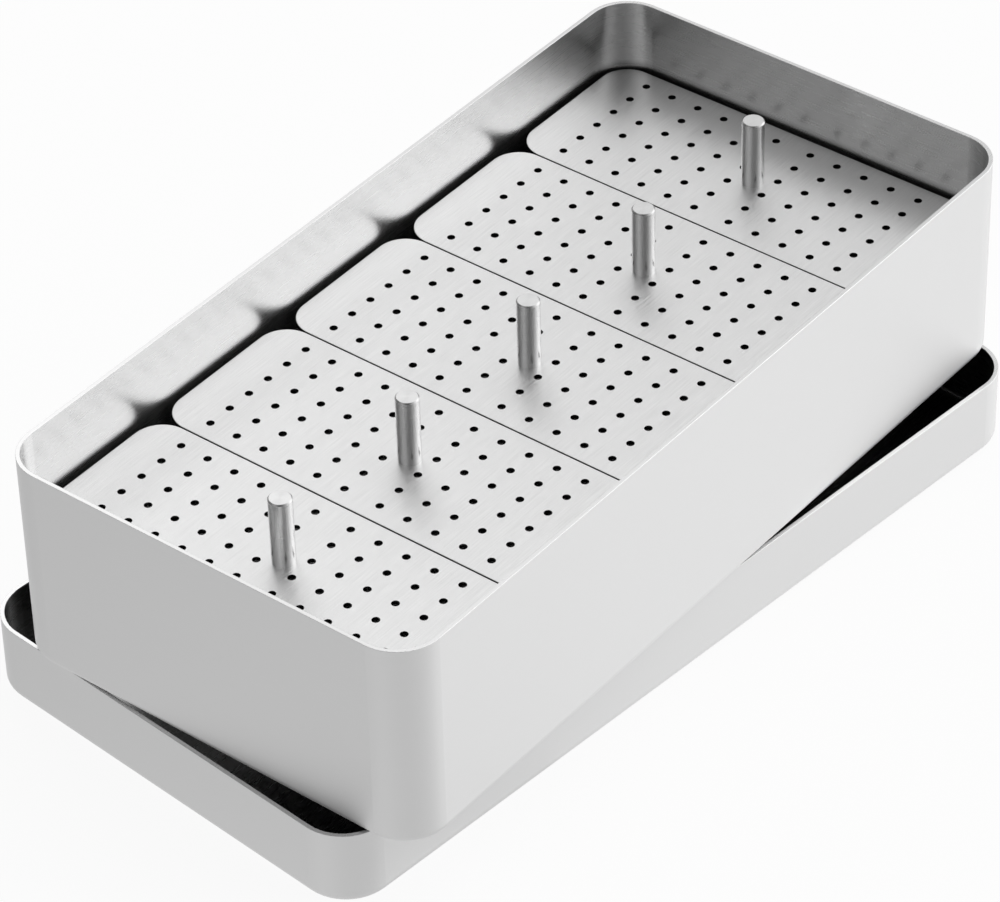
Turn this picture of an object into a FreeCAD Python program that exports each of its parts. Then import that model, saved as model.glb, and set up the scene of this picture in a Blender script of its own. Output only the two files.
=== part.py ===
import FreeCAD, Part
import math
import os
import Sketcher

# An endodontic box of sheet steel: a deep open box with five perforated file inserts,
# standing slightly askew on its own upturned lid.
# The origin is at the middle of the lid's underside, X along the box, Z up. Millimetres and degrees.

os.makedirs("parts", exist_ok=True)
doc = FreeCAD.newDocument("endodontic_box")

insert_count = 5
hole_rows = 6
hole_columns = 6

# Driving sizes

driving_sizes = {
    # sheet work
    "box_sheet": 0.8,
    "bottom_round": 2.0,
    "rim_round": 0.08,
    "plate_sheet": 0.8,
    "plate_corner": 5.8,
    "plate_edge_round": 0.15,
    # file holes of one insert, in two fields either side of the pin
    "hole_diameter": 1.5,
    "row_pitch": 5.15,
    "column_pitch": 6.0,
    "middle_gap": 7.72,
    "row_margin": 3.75,
    "column_margin": 8.75,
    # how the inserts sit in the box
    "insert_gap": 0.23,
    "near_end_slack": 3.75,
    "far_end_slack": 0.85,
    "near_side_slack": 0.45,
    "far_side_slack": 1.03,
    "corner_clearance": 0.1,
    "plate_level": 26.9,
    "headroom": 14.6,
    # lifting pin and its screw
    "pin_diameter": 4.25,
    "pin_chamfer": 0.25,
    "pin_below_rim": 1.0,
    "bore_depth": 7.0,
    "screw_diameter": 2.5,
    "screw_length": 6.0,
    "screw_head_diameter": 4.5,
    "screw_head_height": 1.6,
    "screw_slot_width": 0.7,
    "screw_slot_depth": 0.8,
    "screw_clearance": 0.1,
    # legs
    "leg_diameter": 4.0,
    "leg_chamfer": 0.4,
    "foot_clearance": 0.1,
    # lid
    "lid_height": 15.5,
    "lid_clearance": 0.1,
    "lid_corner_growth": 0.5,
    "lid_turn": -5.62,
    "box_shift_along": 0.52,
    "box_shift_across": -2.56,
}

sheet = doc.addObject("Spreadsheet::Sheet", "Sizes")
for row, (name, value) in enumerate(driving_sizes.items(), start=1):
    cell = f"B{row}"
    sheet.set(f"A{row}", name)
    sheet.set(cell, str(value))
    sheet.setAlias(cell, name)
doc.recompute()

# Sizes that follow from the driving ones, in groups, each worked out before the next


def follow(group, **formulas):
    """Keep a group of sizes that are worked out from the driving sizes and earlier groups."""
    following = doc.addObject("App::VarSet", group)
    for name, formula in formulas.items():
        following.addProperty("App::PropertyFloat", name, group)
        following.setExpression(name, formula)
    doc.recompute()
    return following


insert = follow(
    "Insert",
    length=f"{hole_rows - 1} * Sizes.row_pitch + 2 * Sizes.row_margin",
    width=f"{2 * hole_columns - 2} * Sizes.column_pitch + Sizes.middle_gap + 2 * Sizes.column_margin",
    corner="Sizes.plate_corner",
    leg_length="Sizes.plate_level - Sizes.plate_sheet",
    leg_side_inset="Sizes.row_margin + Sizes.row_pitch / 2",
    leg_end_inset="Sizes.bottom_round - Sizes.box_sheet - Sizes.near_side_slack"
    " + Sizes.leg_diameter / 2 + Sizes.foot_clearance",
    pin_height="Sizes.headroom - Sizes.pin_below_rim",
)

# the box's inner corner is as round as leaves the corner clearance beside the tightest plate corner
end_slack = "min(Sizes.near_end_slack; Sizes.far_end_slack)"
side_slack = "min(Sizes.near_side_slack; Sizes.far_side_slack)"
corner_step = (
    f"{end_slack} + {side_slack} - Sizes.corner_clearance"
    f" + sqrt(2 * ({end_slack} - Sizes.corner_clearance) * ({side_slack} - Sizes.corner_clearance))"
)
box = follow(
    "Box",
    length=f"{insert_count} * Insert.length + {insert_count - 1} * Sizes.insert_gap"
    " + Sizes.near_end_slack + Sizes.far_end_slack + 2 * Sizes.box_sheet",
    width="Insert.width + Sizes.near_side_slack + Sizes.far_side_slack + 2 * Sizes.box_sheet",
    height="Sizes.box_sheet + Sizes.plate_level + Sizes.headroom",
    corner=f"Sizes.plate_corner + {corner_step} + Sizes.box_sheet",
)
lid = follow(
    "Lid",
    length="Box.length + 2 * (Sizes.box_sheet + Sizes.lid_clearance)",
    width="Box.width + 2 * (Sizes.box_sheet + Sizes.lid_clearance)",
    height="Sizes.lid_height",
    corner="Box.corner + Sizes.lid_corner_growth",
)
follow(
    "Places",
    floor="Lid.height + Sizes.box_sheet",
    plate_underside="Lid.height + Sizes.box_sheet + Insert.leg_length",
    plate_top="Lid.height + Sizes.box_sheet + Sizes.plate_level",
    inserts_x="Sizes.box_shift_along + (Sizes.near_end_slack - Sizes.far_end_slack) / 2",
    inserts_y="Sizes.box_shift_across + (Sizes.near_side_slack - Sizes.far_side_slack) / 2",
    insert_step="Insert.length + Sizes.insert_gap",
)


# Helpers for bodies, sketches and features

tiny = 1e-4
bodies = []


def new_body(label, x, y, z):
    body = doc.addObject("PartDesign::Body", label)
    body.Label = label
    for axis, formula in (("x", x), ("y", y), ("z", z)):
        body.setExpression(f"Placement.Base.{axis}", formula)
    bodies.append(body)
    return body


def origin_feature(body, role):
    return next(feature for feature in body.Origin.OriginFeatures if feature.Role == role)


def new_sketch(body, name):
    """Lay a sketch on the body's own ground plane."""
    sketch = body.newObject("Sketcher::SketchObject", f"{body.Label}_{name}")
    sketch.AttachmentSupport = [(origin_feature(body, "XY_Plane"), "")]
    sketch.MapMode = "FlatFace"
    return sketch


def bind(sketch, constraint, name, formula):
    index = sketch.addConstraint(constraint)
    sketch.renameConstraint(index, name)
    sketch.setExpression(f"Constraints.{name}", formula)


def rounded_rectangle(body, name, size):
    """Sketch the outline of a group of sizes: its length along X, its width and its corner."""
    sketch = new_sketch(body, name)
    x = size.length / 2
    y = size.width / 2
    inner_x = x - size.corner
    inner_y = y - size.corner
    point = FreeCAD.Vector
    sides = [
        Part.LineSegment(point(-inner_x, -y), point(inner_x, -y)),
        Part.LineSegment(point(x, -inner_y), point(x, inner_y)),
        Part.LineSegment(point(inner_x, y), point(-inner_x, y)),
        Part.LineSegment(point(-x, inner_y), point(-x, -inner_y)),
    ]
    centres = [
        point(inner_x, -inner_y),
        point(inner_x, inner_y),
        point(-inner_x, inner_y),
        point(-inner_x, -inner_y),
    ]
    corners = []
    for turn, centre in enumerate(centres):
        circle = Part.Circle(centre, point(0, 0, 1), size.corner)
        corners.append(Part.ArcOfCircle(circle, (turn - 1) * math.pi / 2, turn * math.pi / 2))
    sketch.addGeometry(sides + corners, False)
    for side in range(4):
        corner = 4 + side
        sketch.addConstraint(Sketcher.Constraint("Tangent", side, 2, corner, 1))
        sketch.addConstraint(Sketcher.Constraint("Tangent", corner, 2, (side + 1) % 4, 1))
    for corner in (5, 6, 7):
        sketch.addConstraint(Sketcher.Constraint("Equal", 4, corner))
    sketch.addConstraint(Sketcher.Constraint("Horizontal", 0))
    sketch.addConstraint(Sketcher.Constraint("Symmetric", 4, 3, 6, 3, -1, 1))
    group = size.Name
    bind(sketch, Sketcher.Constraint("DistanceX", 3, 1, 1, 1, size.length), "length", f"{group}.length")
    bind(sketch, Sketcher.Constraint("DistanceY", 0, 1, 2, 1, size.width), "width", f"{group}.width")
    bind(sketch, Sketcher.Constraint("Radius", 4, size.corner), "corner", f"{group}.corner")
    return sketch


def disc(body, name, diameter, x=None, y=None):
    """Sketch a circle, at the origin or at the place that the formulas x and y give."""
    sketch = new_sketch(body, name)
    circle = Part.Circle(FreeCAD.Vector(1, 1, 0), FreeCAD.Vector(0, 0, 1), 1)
    sketch.addGeometry(circle, False)
    if x:
        bind(sketch, Sketcher.Constraint("DistanceX", -1, 1, 0, 3, 1), "x", x)
        bind(sketch, Sketcher.Constraint("DistanceY", -1, 1, 0, 3, 1), "y", y)
    else:
        sketch.addConstraint(Sketcher.Constraint("Coincident", 0, 3, -1, 1))
    bind(sketch, Sketcher.Constraint("Diameter", 0, 2), "diameter", diameter)
    return sketch


def add_feature(body, kind, name, profile, length, reverse=False):
    feature = body.newObject(f"PartDesign::{kind}", f"{body.Label}_{name}")
    feature.Profile = profile
    feature.setExpression("Length", length)
    feature.Reversed = reverse
    doc.recompute()
    return feature


def flat_face(feature, highest):
    """Name the highest or lowest flat face that looks straight up or down."""
    found = []
    for index, face in enumerate(feature.Shape.Faces, start=1):
        if face.BoundBox.ZLength < tiny:
            found.append((face.BoundBox.ZMax, f"Face{index}"))
    return max(found)[1] if highest else min(found)[1]


def dress(body, kind, name, feature, highest, size_name, formula):
    """Fillet or chamfer all edges of a feature's highest or lowest flat face."""
    edging = body.newObject(f"PartDesign::{kind}", f"{body.Label}_{name}")
    edging.Base = (feature, [flat_face(feature, highest)])
    edging.setExpression(size_name, formula)
    doc.recompute()
    return edging


# Box and lid, the same kind of tray


def tray(label, size, x, y, z):
    """A tray of one sheet: padded, rounded below, hollowed to the sheet, its rim eased."""
    body = new_body(label, x, y, z)
    outline = rounded_rectangle(body, "outline", size)
    block = add_feature(body, "Pad", "block", outline, f"{size.Name}.height")
    rounded = dress(body, "Fillet", "bottom_round", block, False, "Radius", "Sizes.bottom_round")
    shell = body.newObject("PartDesign::Thickness", f"{label}_shell")
    shell.Base = (rounded, [flat_face(rounded, True)])
    shell.setExpression("Value", "Sizes.box_sheet")
    shell.Reversed = True
    doc.recompute()
    rim = "min(Sizes.rim_round; 0.45 * Sizes.box_sheet)"
    dress(body, "Fillet", "rim_round", shell, True, "Radius", rim)
    return body


lid_body = tray("lid", lid, "0", "0", "0")
lid_body.setExpression("Placement.Rotation.Angle", "Sizes.lid_turn")
tray("box", box, "Sizes.box_shift_along", "Sizes.box_shift_across", "Lid.height")


# Inserts


def insert_plate(label, x, y):
    """A plate with two fields of file holes and a screw hole between them."""
    body = new_body(label, x, y, "Places.plate_underside")
    outline = rounded_rectangle(body, "outline", insert)
    blank = add_feature(body, "Pad", "blank", outline, "Sizes.plate_sheet")
    eased = "min(Sizes.plate_edge_round; 0.45 * Sizes.plate_sheet)"
    dress(body, "Fillet", "edge_round", blank, True, "Radius", eased)
    screw_hole = disc(body, "screw_hole", "Sizes.screw_diameter + 2 * Sizes.screw_clearance")
    add_feature(body, "Pocket", "screw_cut", screw_hole, "Sizes.plate_sheet", reverse=True)
    first_row = f"-{hole_rows - 1} * Sizes.row_pitch / 2"
    first_column = "Sizes.middle_gap / 2"
    file_hole = disc(body, "file_hole", "Sizes.hole_diameter", x=first_row, y=first_column)
    hole = add_feature(body, "Pocket", "file_hole_cut", file_hole, "Sizes.plate_sheet", reverse=True)
    fields = body.newObject("PartDesign::MultiTransform", f"{label}_hole_fields")
    fields.Originals = [hole]
    steps = []
    for name, axis, count, pitch in (
        ("rows", "X_Axis", hole_rows, "Sizes.row_pitch"),
        ("columns", "Y_Axis", hole_columns, "Sizes.column_pitch"),
    ):
        line = body.newObject("PartDesign::LinearPattern", f"{label}_{name}")
        line.Direction = (origin_feature(body, axis), [""])
        line.setExpression("Length", f"{count - 1} * {pitch}")
        line.Occurrences = count
        steps.append(line)
    mirror = body.newObject("PartDesign::Mirrored", f"{label}_mirror")
    mirror.MirrorPlane = (origin_feature(body, "XZ_Plane"), [""])
    steps.append(mirror)
    fields.Transformations = steps
    body.Tip = fields
    doc.recompute()


def lifting_pin(label, x, y):
    body = new_body(label, x, y, "Places.plate_top")
    section = disc(body, "section", "Sizes.pin_diameter")
    stem = add_feature(body, "Pad", "stem", section, "Insert.pin_height")
    dress(body, "Chamfer", "top_chamfer", stem, True, "Size", "Sizes.pin_chamfer")
    bore = disc(body, "bore", "Sizes.screw_diameter + 2 * Sizes.screw_clearance")
    add_feature(body, "Pocket", "screw_bore", bore, "Sizes.bore_depth", reverse=True)


def pin_screw(label, x, y):
    """A slotted screw, its head under the plate."""
    body = new_body(label, x, y, "Places.plate_underside")
    head = disc(body, "head_section", "Sizes.screw_head_diameter")
    add_feature(body, "Pad", "head", head, "Sizes.screw_head_height", reverse=True)
    shank = disc(body, "shank_section", "Sizes.screw_diameter")
    add_feature(body, "Pad", "shank", shank, "Sizes.screw_length")
    slot = new_sketch(body, "slot_outline")
    slot.setExpression(".AttachmentOffset.Base.z", "-Sizes.screw_head_height")
    point = FreeCAD.Vector
    corners = [point(-3, -1), point(3, -1), point(3, 1), point(-3, 1)]
    sides = [Part.LineSegment(start, end) for start, end in zip(corners, corners[1:] + corners[:1])]
    slot.addGeometry(sides, False)
    for side in range(4):
        slot.addConstraint(Sketcher.Constraint("Coincident", side, 2, (side + 1) % 4, 1))
    for side in (0, 2):
        slot.addConstraint(Sketcher.Constraint("Horizontal", side))
        slot.addConstraint(Sketcher.Constraint("Vertical", side + 1))
    slot.addConstraint(Sketcher.Constraint("Symmetric", 0, 1, 1, 2, -1, 1))
    run = "2 * Sizes.screw_head_diameter"
    bind(slot, Sketcher.Constraint("DistanceX", 0, 1, 0, 2, 6), "run", run)
    bind(slot, Sketcher.Constraint("DistanceY", 1, 1, 1, 2, 2), "slot", "Sizes.screw_slot_width")
    add_feature(body, "Pocket", "slot", slot, "Sizes.screw_slot_depth", reverse=True)


def leg(label, x, y):
    body = new_body(label, x, y, "Places.floor")
    section = disc(body, "section", "Sizes.leg_diameter")
    post = add_feature(body, "Pad", "post", section, "Insert.leg_length")
    dress(body, "Chamfer", "foot_chamfer", post, False, "Size", "Sizes.leg_chamfer")


leg_corners = [(x_side, y_side) for x_side in ("-", "+") for y_side in ("-", "+")]
for number in range(1, insert_count + 1):
    steps_from_middle = number - (insert_count + 1) / 2
    middle_x = f"Places.inserts_x + {steps_from_middle} * Places.insert_step"
    middle_y = "Places.inserts_y"
    insert_plate(f"insert_{number}_plate", middle_x, middle_y)
    lifting_pin(f"insert_{number}_pin", middle_x, middle_y)
    pin_screw(f"insert_{number}_screw", middle_x, middle_y)
    for leg_number, (x_side, y_side) in enumerate(leg_corners, start=1):
        leg_x = f"{middle_x} {x_side} (Insert.length / 2 - Insert.leg_side_inset)"
        leg_y = f"{middle_y} {y_side} (Insert.width / 2 - Insert.leg_end_inset)"
        leg(f"insert_{number}_leg_{leg_number}", leg_x, leg_y)

# Check every object, then write each piece

doc.recompute()
failed = [item.Label for item in doc.Objects if "Invalid" in item.State or "Error" in item.State]
failed += [body.Label for body in bodies if body.Shape.isNull() or not body.Shape.isValid()]
if failed:
    raise RuntimeError("not built: " + ", ".join(failed))
for body in bodies:
    body.Shape.exportStep(f"parts/{body.Label}.step")
    print(f"{body.Label}: {body.Shape.Volume:.1f} cubic mm, {len(body.Shape.Solids)} solid")
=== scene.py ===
import math
import bpy
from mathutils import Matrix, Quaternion, Vector


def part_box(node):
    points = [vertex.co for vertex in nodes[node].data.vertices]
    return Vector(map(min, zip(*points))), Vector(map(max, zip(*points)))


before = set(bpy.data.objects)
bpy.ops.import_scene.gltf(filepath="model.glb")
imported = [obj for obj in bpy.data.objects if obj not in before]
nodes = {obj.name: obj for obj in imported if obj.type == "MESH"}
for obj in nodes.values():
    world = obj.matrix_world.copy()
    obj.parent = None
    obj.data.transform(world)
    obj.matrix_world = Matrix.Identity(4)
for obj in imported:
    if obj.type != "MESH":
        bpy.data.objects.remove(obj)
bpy.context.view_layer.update()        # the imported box, its lid and its five inserts, fixed in place
scene = bpy.context.scene
print("frame loaded:", len(nodes), "pieces of steel")


class Wire:  # one output socket, so that shader maths reads as plain expressions
    def __init__(self, tree, socket=None):  # without a socket, it only starts a tree
        self.tree = tree
        self.socket = socket

    def add(self, kind, settings, sockets, out=0):  # settings first, then values or links
        node = self.tree.nodes.new(kind)
        for name, value in settings.items():
            setattr(node, name, value)
        for name, value in sockets.items():
            if isinstance(value, Wire):
                self.tree.links.new(value.socket, node.inputs[name])
            else:
                node.inputs[name].default_value = value
        return Wire(self.tree, node.outputs[out] if node.outputs else None)

    def math(self, operation, first, second=0.0):
        return self.add("ShaderNodeMath", {"operation": operation}, {0: first, 1: second})

    def atLeast(self, least):
        return self.math("MAXIMUM", self, least)

    def above(self, limit):  # 1 where this is greater than the limit, and 0 elsewhere
        return self.math("GREATER_THAN", self, limit)

    def rise(self, low, high, least):  # smoothly up from the least value at low to 1 at high
        return self.add("ShaderNodeMapRange", {"interpolation_type": "SMOOTHSTEP"},
                        {"Value": self, "From Min": low, "From Max": high, "To Min": least})

    def blend(self, first, second):  # numbers: first where this is 0, second where it is 1
        return self.add("ShaderNodeMix", {"data_type": "FLOAT"},
                        {"Factor": self, "A": first, "B": second})

    def asColor(self):  # a number as a grey
        return self.add("ShaderNodeCombineColor", {}, {"Red": self, "Green": self, "Blue": self})

    def vector(self, operation, other=(0, 0, 0), out="Vector"):
        return self.add("ShaderNodeVectorMath", {"operation": operation}, {0: self, 1: other}, out)

    def dot(self, other):
        return self.vector("DOT_PRODUCT", other, out="Value")

    def axis(self, name):
        return self.add("ShaderNodeSeparateXYZ", {}, {0: self}, out="XYZ".index(name))

    def __add__(self, other):
        return self.math("ADD", self, other)

    def __radd__(self, other):
        return self.math("ADD", other, self)

    def __sub__(self, other):
        return self.math("SUBTRACT", self, other)

    def __rsub__(self, other):
        return self.math("SUBTRACT", other, self)

    def __mul__(self, other):
        return self.math("MULTIPLY", self, other)

    def __rmul__(self, other):
        return self.math("MULTIPLY", other, self)

    def __truediv__(self, other):
        return self.math("DIVIDE", self, other)

    def __rtruediv__(self, other):
        return self.math("DIVIDE", other, self)


def startNodes(owner):  # of a material or of the world
    owner.use_nodes = True
    owner.node_tree.nodes.clear()
    return Wire(owner.node_tree)


def towards(heading, height):  # degrees, from +X towards +Y and up from level
    heading, height = math.radians(heading), math.radians(height)
    flat = math.cos(height)
    return Vector((flat * math.cos(heading), flat * math.sin(heading), math.sin(height)))


# Camera: the photograph's long view, over the near end and the front of the box
cameraSetup = {
    "place": (-0.52062, -0.41878, 0.56364),
    "heading": 38.996,       # degrees, as the next two
    "height": -38.975,
    "roll": -1.605,
    "lens": 173.95,          # millimetres, as the next
    "sensorWidth": 36.0,
    "clip": (0.05, 40.0),
}


def makeCamera(setup):
    data = bpy.data.cameras.new("camera")
    data.lens = setup["lens"]
    data.sensor_width = setup["sensorWidth"]
    data.clip_start, data.clip_end = setup["clip"]
    camera = bpy.data.objects.new("camera", data)
    camera.location = setup["place"]
    camera.rotation_mode = "QUATERNION"
    level = towards(setup["heading"], setup["height"]).to_track_quat("-Z", "Y")
    camera.rotation_quaternion = level @ Quaternion((0, 0, 1), math.radians(setup["roll"]))
    scene.collection.objects.link(camera)
    scene.camera = camera


makeCamera(cameraSetup)
print("camera set")


# Brushed steel: fine lines run along the box on flat faces, and level round everything upright
brushSetup = {
    "flatLeast": 0.7,        # how steeply up or down the normal of a flat face points
    "detail": 2.0,
    "roughness": 0.6,
    "shineTurn": 0.25,       # of a whole turn, so that the shine spreads across the lines
}
levelLeast = 0.95            # how steeply up the normal of a level face points


class Finish:  # one material: the place on the steel, its normal and its brush lines
    def __init__(self, name, steel):
        self.material = bpy.data.materials.new(name)
        self.start = startNodes(self.material)
        self.place = self.start.add("ShaderNodeTexCoord", {}, {}, out="Object")
        self.normal = self.start.add("ShaderNodeNewGeometry", {}, {}, out="Normal")
        self.up = self.normal.axis("Z")
        along, across = 1 / steel["lineLength"], 1 / steel["lineWidth"]
        flat = self.start.math("ABSOLUTE", self.up).above(brushSetup["flatLeast"])
        onWalls, onFlats = self.lines((along, along, across)), self.lines((along, across, across))
        self.brush = flat.blend(onWalls, onFlats)
        self.signed = (self.brush - 0.5) * 2     # from -1 to 1

    def lines(self, scales):
        return self.start.add("ShaderNodeTexNoise", {"noise_dimensions": "3D"}, {
            "Vector": self.place.vector("MULTIPLY", scales),
            "Scale": 1.0,
            "Detail": brushSetup["detail"],
            "Roughness": brushSetup["roughness"],
        })

    def metal(self, steel, paintedShading=1.0):  # the share of its grey that painted shade and painted light leave
        grey = (steel["grey"] + self.signed * steel["greySpread"]) * paintedShading
        relief = {"Height": self.brush, "Strength": 1.0, "Distance": steel["lineDepth"]}
        return self.start.add("ShaderNodeBsdfPrincipled", {}, {
            "Base Color": grey.asColor(),
            "Roughness": steel["roughness"] + self.signed * steel["roughnessSpread"],
            "Metallic": 1.0,
            "Anisotropic": steel["anisotropy"],
            "Anisotropic Rotation": brushSetup["shineTurn"],
            "Normal": self.start.add("ShaderNodeBump", {}, relief),
        })

    def done(self, shader):
        self.start.add("ShaderNodeOutputMaterial", {}, {"Surface": shader})
        return self.material


# The sheet of the box and the lid, from which the other finishes are varied
sheetSteel = {
    "grey": 0.80,
    "greySpread": 0.006,     # up and down, from line to line
    "roughness": 0.42,
    "roughnessSpread": 0.03,
    "lineLength": 0.008,     # metres, as the next two
    "lineWidth": 0.00018,
    "lineDepth": 0.000008,
    "anisotropy": 0.85,
}


# The box and the lid: smoother inside, where painted shade darkens them as less light gets in: a lower
# grey than outside, and darker still below a level
boxSetup = {
    "outside": sheetSteel,
    # the inside's grey, lower than the outside's, is painted shade
    "inside": dict(sheetSteel, grey=0.735, roughness=0.28, lineDepth=0.0000008, anisotropy=0.4),
    "topsInner": 0.01,       # metres, so that level tops are inner faces and undersides outer ones
    "level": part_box("insert_1_plate")[1].z,      # the tops of the plates
    "paintedShadeUpTo": 0.0004,      # metres from that level, up to which the painted shade is full, as the next
    "unshadedFrom": 0.0022,
    "paintedShadeShare": 0.55,       # of the inside's grey, as the next two; this one is left under the painted shade
    # on the rim: painted light on its level top and painted shade on its rounding
    "rimTopPaintedLight": 1.01,
    "rimRoundPaintedShade": 0.86,
    "rimDepth": 0.0001,      # metres
}
# in the lid, the painted shade darkens the inner faces just under its rim
lidSetup = dict(boxSetup, level=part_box("lid")[1].z,      # its rim
                paintedShadeUpTo=-0.0004, unshadedFrom=-0.0003, paintedShadeShare=0.45)


def trayFinishWithPaintedShading(name, node, setup):
    finish = Finish(name, setup["outside"])
    low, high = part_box(node)
    offset = finish.place.vector("SUBTRACT", (low + high) / 2)
    outward = finish.normal.dot(offset.vector("MULTIPLY", (1, 1, 0)))
    inner = (finish.up * setup["topsInner"]).above(outward)
    height = finish.place.axis("Z")
    dark, light = setup["level"] + setup["paintedShadeUpTo"], setup["level"] + setup["unshadedFrom"]
    # painted shade: inner faces darker below the level
    paintedHollowShade = height.rise(dark, light, setup["paintedShadeShare"])
    # painted light on the rim's level top, painted shade on its rounding
    paintedRimShading = finish.up.above(levelLeast).blend(setup["rimRoundPaintedShade"], setup["rimTopPaintedLight"])
    paintedShading = height.above(high.z - setup["rimDepth"]).blend(paintedHollowShade, paintedRimShading)
    outside, inside = finish.metal(setup["outside"]), finish.metal(setup["inside"], paintedShading)
    both = finish.start.add("ShaderNodeMixShader", {}, {"Fac": inner, 1: outside, 2: inside})
    return finish.done(both)


# The plates: painted shade darkens their lower faces and the walls of their holes
plateSetup = {
    "steel": dict(sheetSteel, grey=0.69, greySpread=0.12, roughness=0.34, roughnessSpread=0.12,
                  lineDepth=0.000045, anisotropy=0.0),
    "paintedShadeUpTo": 0.3,         # how steeply up the normal points, as the next
    "unshadedFrom": 0.8,
    "paintedShadeShare": 0.12,       # of the plate's grey, left under the painted shade
}


def plateFinishWithPaintedShade(setup):
    finish = Finish("brushed_plate_sheet", setup["steel"])
    # painted shade on every face that doesn't point up
    paintedShading = finish.up.rise(setup["paintedShadeUpTo"], setup["unshadedFrom"], setup["paintedShadeShare"])
    return finish.done(finish.metal(setup["steel"], paintedShading))


# The turned bars: pins, legs and screws, with painted shade on their upward chamfers and ends
barSetup = {
    "steel": dict(sheetSteel, grey=0.80, roughness=0.26, lineDepth=0.0000001, anisotropy=0.6),
    "chamferLeast": 0.5,     # how steeply up the normal of a chamfer points
    "chamferPaintedShade": 0.7,     # of the bar's grey, left under painted shade, as the next
    "endPaintedShade": 0.87,
}


def barFinishWithPaintedShade(setup):
    finish = Finish("turned_bar", setup["steel"])
    # painted shade: upward chamfers and level tops darker than the sides
    paintedEndShade = finish.up.above(levelLeast).blend(setup["chamferPaintedShade"], setup["endPaintedShade"])
    paintedShading = finish.up.above(setup["chamferLeast"]).blend(1.0, paintedEndShade)
    return finish.done(finish.metal(setup["steel"], paintedShading))


finishes = {
    "box": trayFinishWithPaintedShading("brushed_box_sheet", "box", boxSetup),
    "lid": trayFinishWithPaintedShading("brushed_lid_sheet", "lid", lidSetup),
    "plate": plateFinishWithPaintedShade(plateSetup),
}
turned = barFinishWithPaintedShade(barSetup)
for name, piece in nodes.items():
    for slot in piece.material_slots:
        slot.material = finishes.get(name.split("_")[-1], turned)
print("steel finished")


# Light: a dim pale room with four soft boxes
roomSetup = {
    "level": 0.626,
    "towardsTop": -1.2,      # added straight overhead
    "softBoxes": [           # strength, then heading, height and spread in degrees
        (3.03, -24.9, 64.6, 31.6),
        (2.00, 62.9, 38.5, 18.4),
        (0.74, 169.1, 38.1, 31.3),
        (2.00, -35.0, 0.0, 32.0),
    ],
}


def roomShade(setup, direction):
    shade = setup["level"] + direction.axis("Z").atLeast(0.0) * setup["towardsTop"]
    for strength, heading, height, spread in setup["softBoxes"]:
        sharpness = 1 / (1 - math.cos(math.radians(spread)))
        facing = direction.dot(towards(heading, height))
        shade = shade + strength * direction.math("EXPONENT", (facing - 1) * sharpness)
    return shade.atLeast(0.0)


def makeRoom(setup):
    world = bpy.data.worlds.new("pale_room")
    start = startNodes(world)
    direction = start.add("ShaderNodeTexCoord", {}, {}, out="Generated")
    seen = start.add("ShaderNodeLightPath", {}, {}, out="Is Camera Ray")
    strength = seen.blend(roomShade(setup, direction), 1.0)
    light = start.add("ShaderNodeBackground", {}, {"Color": (1, 1, 1, 1), "Strength": strength})
    start.add("ShaderNodeOutputWorld", {}, {"Surface": light})
    scene.world = world


# A white table under the box
tableSetup = {
    "size": 12.0,            # metres
    "color": (0.9, 0.9, 0.9, 1),
    "whiteShare": 0.92,      # of what the camera sees; the rest is left to the shadow
    "glow": 0.785,           # as the steel sees it
    "tilt": (0.02, -0.12, 0.0),      # added to the glow towards the far end and the back
    "middle": 0.05,          # metres, within which the tilt evens out
}


def tableFinish(setup):
    material = bpy.data.materials.new("white_table")
    start = startNodes(material)
    seen, mirrored, through = (start.add("ShaderNodeLightPath", {}, {}, out=ray)
                               for ray in ("Is Camera Ray", "Is Glossy Ray", "Is Transmission Ray"))
    place = start.add("ShaderNodeTexCoord", {}, {}, out="Object")
    distance = place.vector("LENGTH", out="Value")
    glow = setup["glow"] + place.dot(setup["tilt"]) / (distance + setup["middle"])
    white = start.add("ShaderNodeEmission", {}, {"Color": seen.blend(glow, 1.0).asColor()})
    paper = start.add("ShaderNodeBsdfDiffuse", {}, {"Color": setup["color"]})
    share = (seen * setup["whiteShare"]).atLeast(mirrored.atLeast(through))
    top = start.add("ShaderNodeMixShader", {}, {"Fac": share, 1: paper, 2: white})
    start.add("ShaderNodeOutputMaterial", {}, {"Surface": top})
    return material


def makeTable(setup):
    half = setup["size"] / 2
    corners = [(-half, -half, 0), (half, -half, 0), (half, half, 0), (-half, half, 0)]
    mesh = bpy.data.meshes.new("table")
    mesh.from_pydata(corners, [], [(0, 1, 2, 3)])
    mesh.materials.append(tableFinish(setup))
    piece = bpy.data.objects.new("table", mesh)
    scene.collection.objects.link(piece)


makeRoom(roomSetup)
makeTable(tableSetup)
scene.view_settings.view_transform = "Standard"
print("floor and light set")
